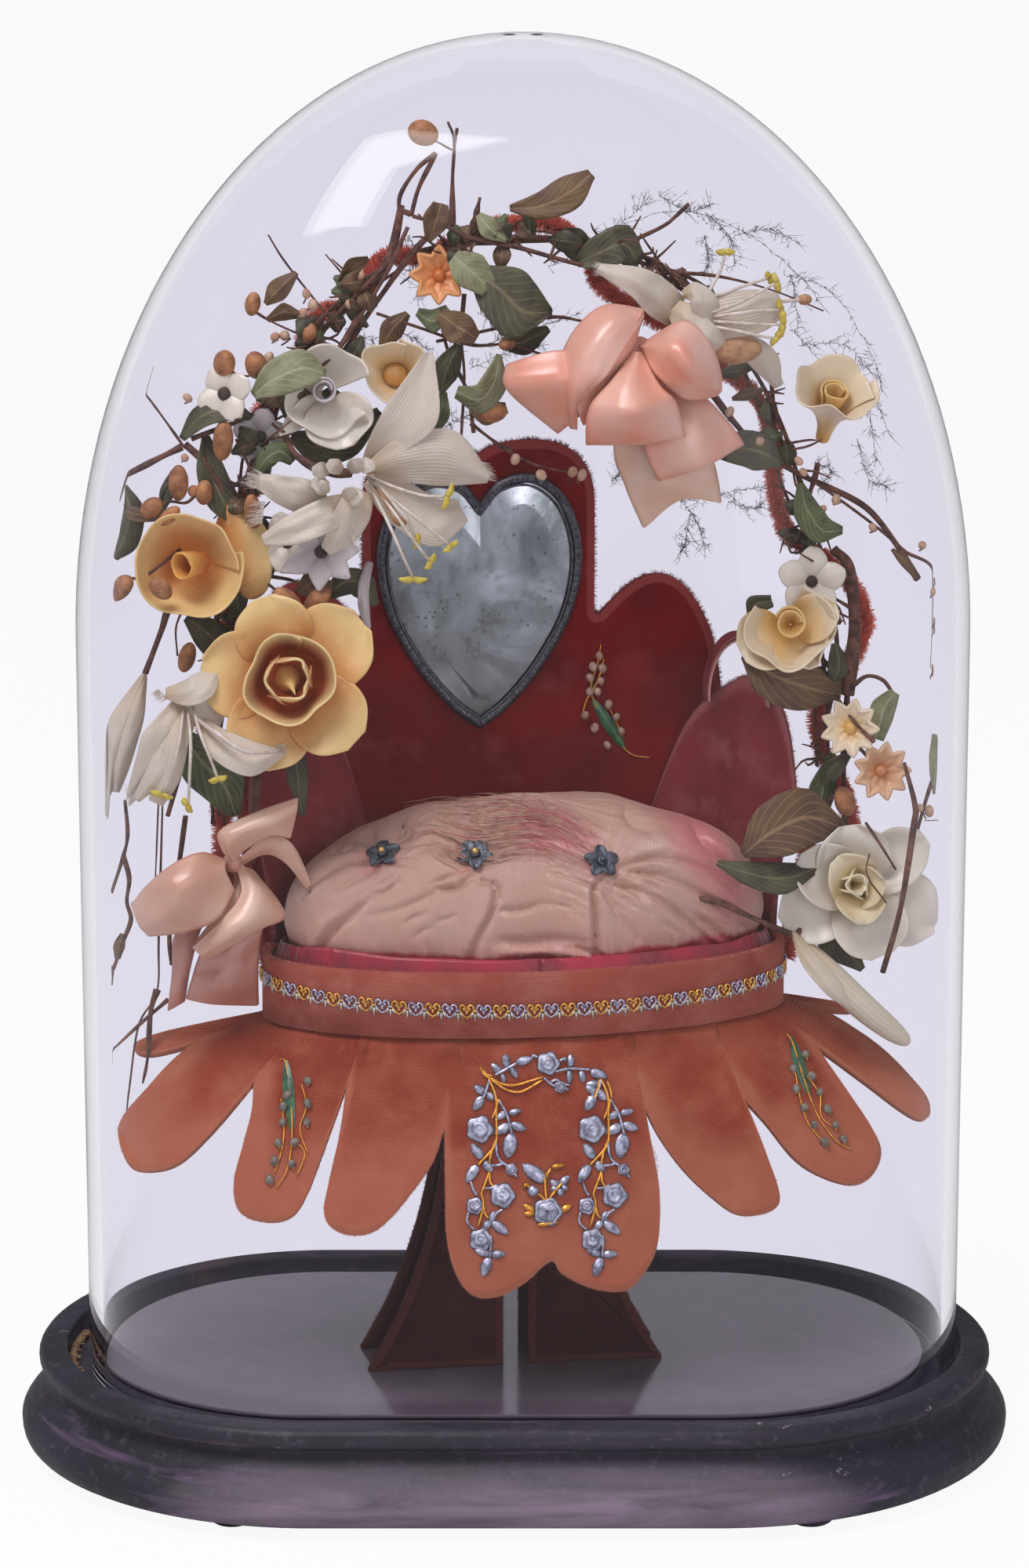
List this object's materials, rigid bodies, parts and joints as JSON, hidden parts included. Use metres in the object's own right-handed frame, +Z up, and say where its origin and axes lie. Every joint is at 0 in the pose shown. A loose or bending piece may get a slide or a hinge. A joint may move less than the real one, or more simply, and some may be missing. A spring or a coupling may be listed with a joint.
{
  "type": "bridal globe",
  "caption": "Oval glass dome on a moulded wooden plinth, over a velvet seat with a tufted satin cushion, heart mirror, lobed apron and a wired garland of wax flowers and bows.",
  "frame": {"origin": "on the table, under the middle of the oval plinth", "axes": "+Z up, +X to the right of a viewer in front, -Y towards that viewer; the oval is long in X and short in Y"},
  "size_m": [0.3476, 0.2118, 0.4924],
  "materials": {
    "ebonised_wood": "worn satin black-blue stain",
    "gloss_black_panel": "gloss lacquer",
    "brown_strip": "worn felt strip",
    "clear_glass": "clear blown glass",
    "rust_velvet": "faded rust-orange velvet",
    "wine_velvet": "wine-red velvet",
    "brown_velvet": "dark red-brown velvet",
    "seat_card": "plain board",
    "pale_satin": "gathered satin, pink in places",
    "crimson_silk": "crimson silk strip",
    "peach_satin": "glossy salmon satin ribbon",
    "white_silk": "stiffened silk petals",
    "chenille": "fuzzy rust-red chenille over wire",
    "dark_pewter": "tarnished stamped metal",
    "silver_foil": "bright stamped metal with gilt wires",
    "gilt_galloon": "gilt and silvered stamped hearts",
    "green_enamel": "green painted leaf with gilt edges",
    "old_mirror": "bevelled, spotted silvering",
    "yellow_wax": "yellow wax",
    "white_wax": "white wax",
    "cream_wax": "cream wax",
    "orange_wax": "tan-orange wax",
    "twigs_and_leaves": "paper-wound wire twigs with cloth leaves"
  },
  "bodies": {
    "base": {"plinth": "ebonised_wood", "floor_panel": "gloss_black_panel", "groove_seal": "brown_strip", "foot_front_left": "ebonised_wood", "foot_front_right": "ebonised_wood", "foot_back_left": "ebonised_wood", "foot_back_right": "ebonised_wood", "leg_front_left": "brown_velvet", "leg_front_right": "brown_velvet", "leg_back_left": "brown_velvet", "leg_back_right": "brown_velvet", "seat_board": "seat_card", "apron": "rust_velvet", "gallery_band": "rust_velvet", "band_trim": "gilt_galloon", "cushion": "pale_satin", "cushion_hem": "crimson_silk", "tuft_flower_left": "dark_pewter", "tuft_flower_middle": "dark_pewter", "tuft_flower_right": "dark_pewter", "backboard": "wine_velvet", "mirror_frame": "dark_pewter", "mirror_glass": "old_mirror", "left_wing": "rust_velvet", "right_wing": "wine_velvet", "apron_garland": "silver_foil", "apron_bouquet": "silver_foil", "apron_sprig_left": "green_enamel", "apron_sprig_right": "green_enamel", "backboard_sprig": "green_enamel", "chenille_arch": "chenille", "yellow_magnolia": "yellow_wax", "yellow_calla": "yellow_wax", "white_rose": "white_wax", "small_calla": "cream_wax", "satin_lily": "white_silk", "pale_blossoms": "white_wax", "star_flower": "white_wax", "round_blossom": "white_wax", "orange_star": "orange_wax", "low_lily": "white_silk", "left_long_bud": "white_silk", "top_lily": "white_silk", "right_calla": "cream_wax", "five_petal_flower": "white_wax", "cream_calla": "cream_wax", "cream_star": "cream_wax", "tan_star": "orange_wax", "big_white_rose": "white_wax", "right_long_bud": "white_silk", "lower_bow": "peach_satin", "upper_bow": "peach_satin", "branch_left": "twigs_and_leaves", "branch_top": "twigs_and_leaves", "branch_right": "twigs_and_leaves"},
    "dome": {"glass_dome": "clear_glass"}
  },
  "joints": [
    {"name": "dome_lift", "type": "slide", "parent": "base", "child": "dome", "axis": [0, 0, 1], "range_m": [0, 0.45]}
  ]
}
